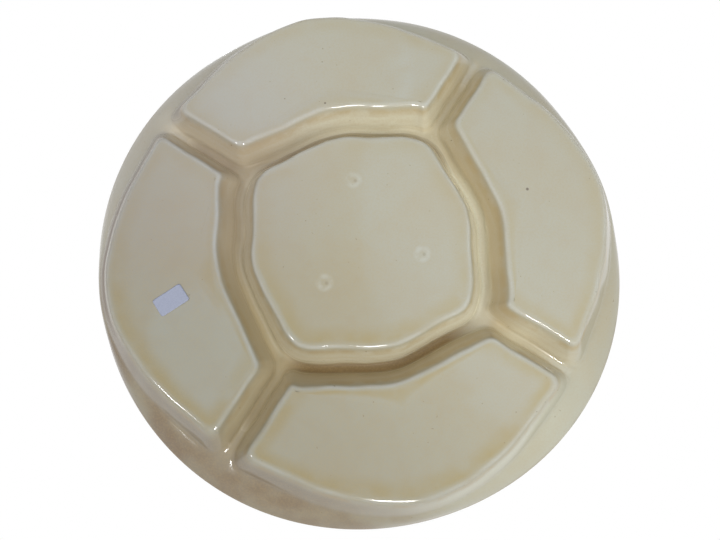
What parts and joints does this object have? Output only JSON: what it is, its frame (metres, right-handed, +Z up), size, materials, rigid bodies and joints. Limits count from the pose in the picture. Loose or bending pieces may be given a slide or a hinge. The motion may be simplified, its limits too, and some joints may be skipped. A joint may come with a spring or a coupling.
{
  "type": "divided dish",
  "caption": "Round glazed earthenware serving dish; low wavy partitions part a squarish middle well from curved outer wells inside a plain rolled rim.",
  "frame": {"origin": "middle of the dish on the table it stands on", "axes": "+Z up, out of the open wells; +Y towards one outer well, which the picture shows uppermost; the outer wells repeat every quarter turn about Z"},
  "size_m": [0.3372, 0.3396, 0.0287],
  "materials": {
    "cream_glaze": "glossy clear-cream glaze, slightly stained and speckled",
    "label_paper": "matt white self-adhesive paper, left blank"
  },
  "bodies": {
    "root": {"dish_body": "cream_glaze", "price_label": "label_paper"}
  },
  "joints": []
}
